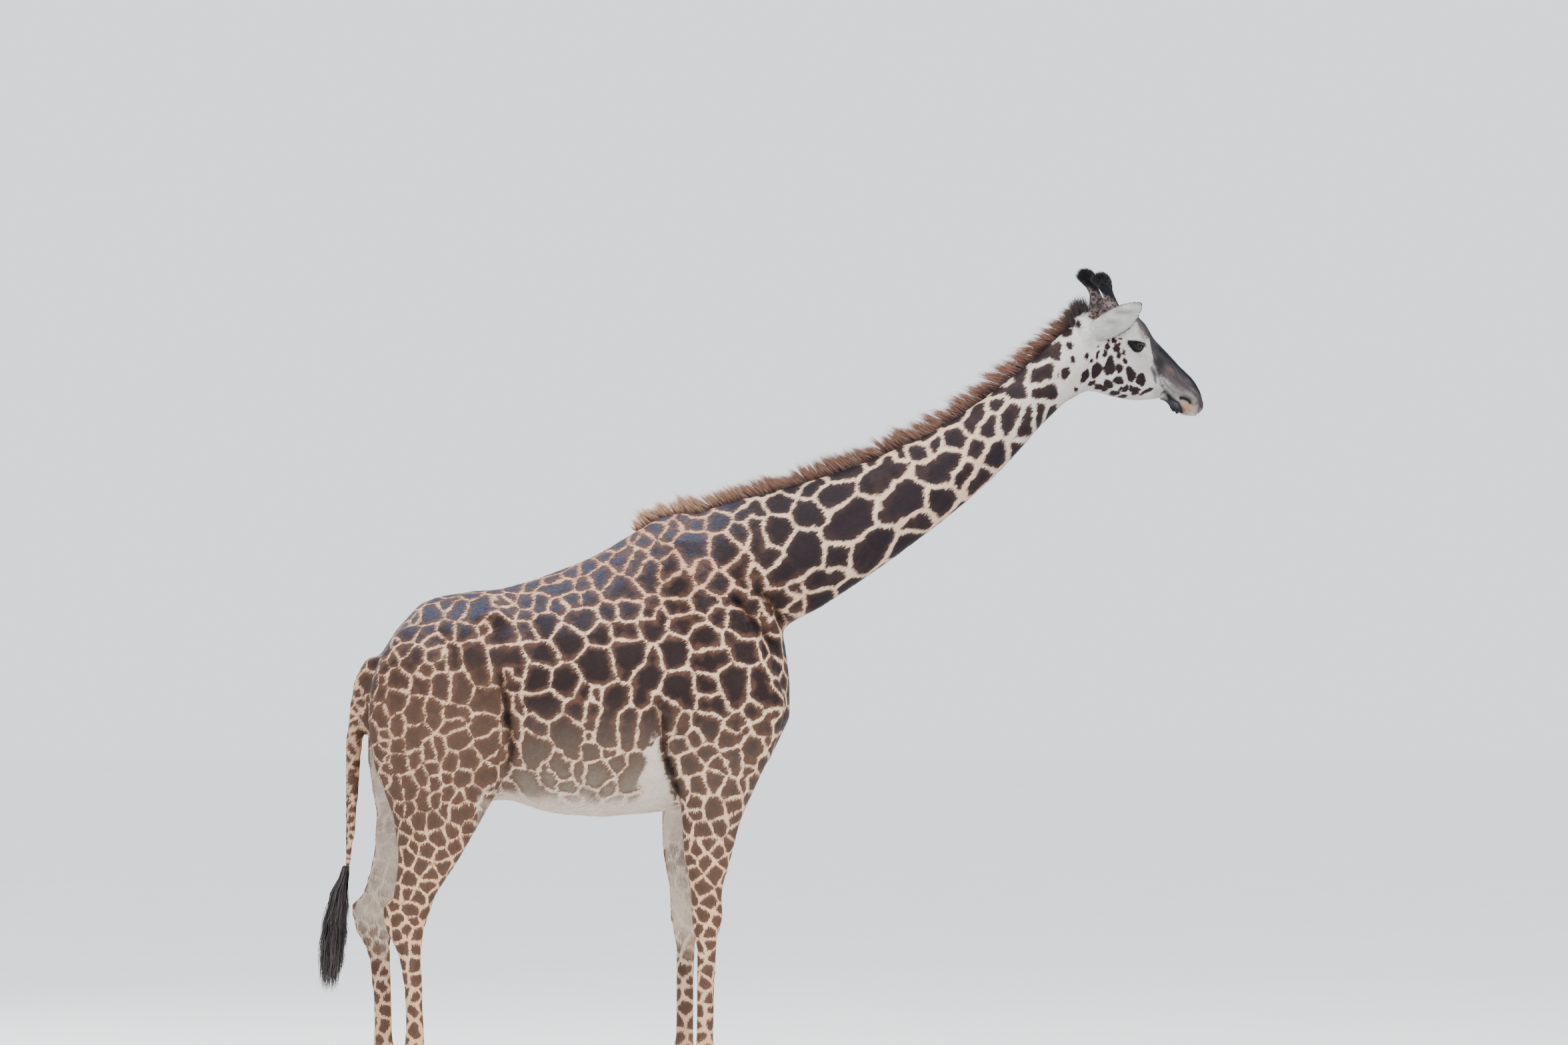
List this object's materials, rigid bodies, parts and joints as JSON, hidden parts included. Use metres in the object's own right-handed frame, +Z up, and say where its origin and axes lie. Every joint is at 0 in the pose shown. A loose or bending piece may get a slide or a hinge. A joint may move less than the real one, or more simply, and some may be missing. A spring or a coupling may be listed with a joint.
{
  "type": "masai giraffe",
  "caption": "An adult Masai giraffe standing still, life size, with its neck carried low and its head turned a little away.",
  "frame": {"origin": "on the floor, under the middle of the model's box", "axes": "+X towards the nose, +Y to the animal's left, +Z up"},
  "size_m": [3.9306, 0.7626, 3.7944],
  "materials": {
    "coat": "short flat hair on skin",
    "mane_hair": "stiff upright hair",
    "black_hair": "long coarse hair",
    "hoof": "worn horn",
    "eye": "wet gloss"
  },
  "bodies": {
    "root": {"ear_left": "coat", "ear_right": "coat", "eye_left": "eye", "eye_right": "eye", "foreleg_left_lower": "coat", "foreleg_left_upper": "coat", "foreleg_right_lower": "coat", "foreleg_right_upper": "coat", "head": "coat", "hindleg_left_lower": "coat", "hindleg_left_upper": "coat", "hindleg_right_lower": "coat", "hindleg_right_upper": "coat", "hoof_fore_left_inner": "hoof", "hoof_fore_left_outer": "hoof", "hoof_fore_right_inner": "hoof", "hoof_fore_right_outer": "hoof", "hoof_hind_left_inner": "hoof", "hoof_hind_left_outer": "hoof", "hoof_hind_right_inner": "hoof", "hoof_hind_right_outer": "hoof", "mane": "mane_hair", "neck": "coat", "ossicone_left": "coat", "ossicone_right": "coat", "tail": "coat", "tail_tuft": "black_hair", "trunk": "coat"}
  },
  "joints": []
}
